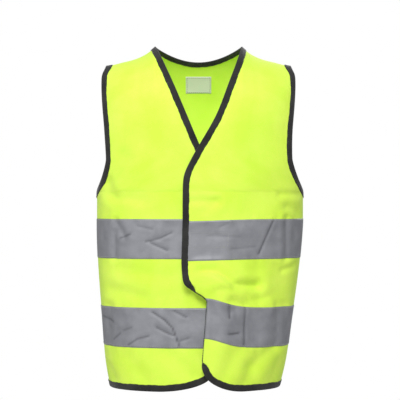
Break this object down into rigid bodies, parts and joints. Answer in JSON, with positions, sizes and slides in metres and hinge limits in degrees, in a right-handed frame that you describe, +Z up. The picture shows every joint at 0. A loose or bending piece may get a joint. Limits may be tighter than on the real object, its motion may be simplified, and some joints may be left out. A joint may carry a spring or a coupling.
{
  "type": "high visibility vest",
  "caption": "Child's sleeveless safety vest in fluorescent knit with reflective tapes, dark bindings and an overlapping hook-and-loop front.",
  "frame": {"origin": "midway between the two shoulder seams, at the height of their outer ends, where the shoulders of a wearer or hanger carry the vest", "axes": "+Z up, the front faces -Y, the wearer's left side is +X"},
  "size_m": [0.2704, 0.2017, 0.4391],
  "materials": {
    "hi_vis_knit": "fluorescent yellow warp knit, matt",
    "reflective_tape": "silver-grey glass bead tape, satin",
    "black_binding": "black woven bias binding, matt",
    "seam_thread": "yellow overlock thread",
    "hook_tape": "yellow hook tape, bristly",
    "loop_tape": "yellow loop tape, fuzzy",
    "woven_label": "white woven label, blank"
  },
  "bodies": {
    "torso": {"back_panel": "hi_vis_knit", "front_left_side_panel": "hi_vis_knit", "front_right_side_panel": "hi_vis_knit", "lower_tape_back": "reflective_tape", "lower_tape_left_side": "reflective_tape", "lower_tape_right_side": "reflective_tape", "upper_tape_back": "reflective_tape", "upper_tape_left_side": "reflective_tape", "upper_tape_right_side": "reflective_tape", "neck_binding": "black_binding", "hem_binding": "black_binding", "left_armhole_binding": "black_binding", "right_armhole_binding": "black_binding", "left_side_seam": "seam_thread", "right_side_seam": "seam_thread", "left_shoulder_seam": "seam_thread", "right_shoulder_seam": "seam_thread", "size_label": "woven_label", "care_label": "woven_label"},
    "front_left": {"front_left_flap_panel": "hi_vis_knit", "lower_tape_left_flap": "reflective_tape", "upper_tape_left_flap": "reflective_tape", "left_edge_binding": "black_binding", "hook_patch": "hook_tape"},
    "front_right": {"front_right_flap_panel": "hi_vis_knit", "lower_tape_right_flap": "reflective_tape", "upper_tape_right_flap": "reflective_tape", "right_edge_binding": "black_binding", "loop_patch": "loop_tape"}
  },
  "joints": [
    {"name": "front_left_open", "type": "hinge", "parent": "torso", "child": "front_left", "pos_m": [0.0784, -0.083, -0.412], "axis": [-0.1241, -0.014, 0.9922], "range_deg": [0, 110]},
    {"name": "front_right_open", "type": "hinge", "parent": "torso", "child": "front_right", "pos_m": [-0.0916, -0.08, -0.412], "axis": [-0.1601, 0.0125, -0.987], "range_deg": [0, 45]}
  ],
  "couplings": [
    {"joint": "front_right_open", "follows": "front_left_open", "ratio": 0.4}
  ]
}
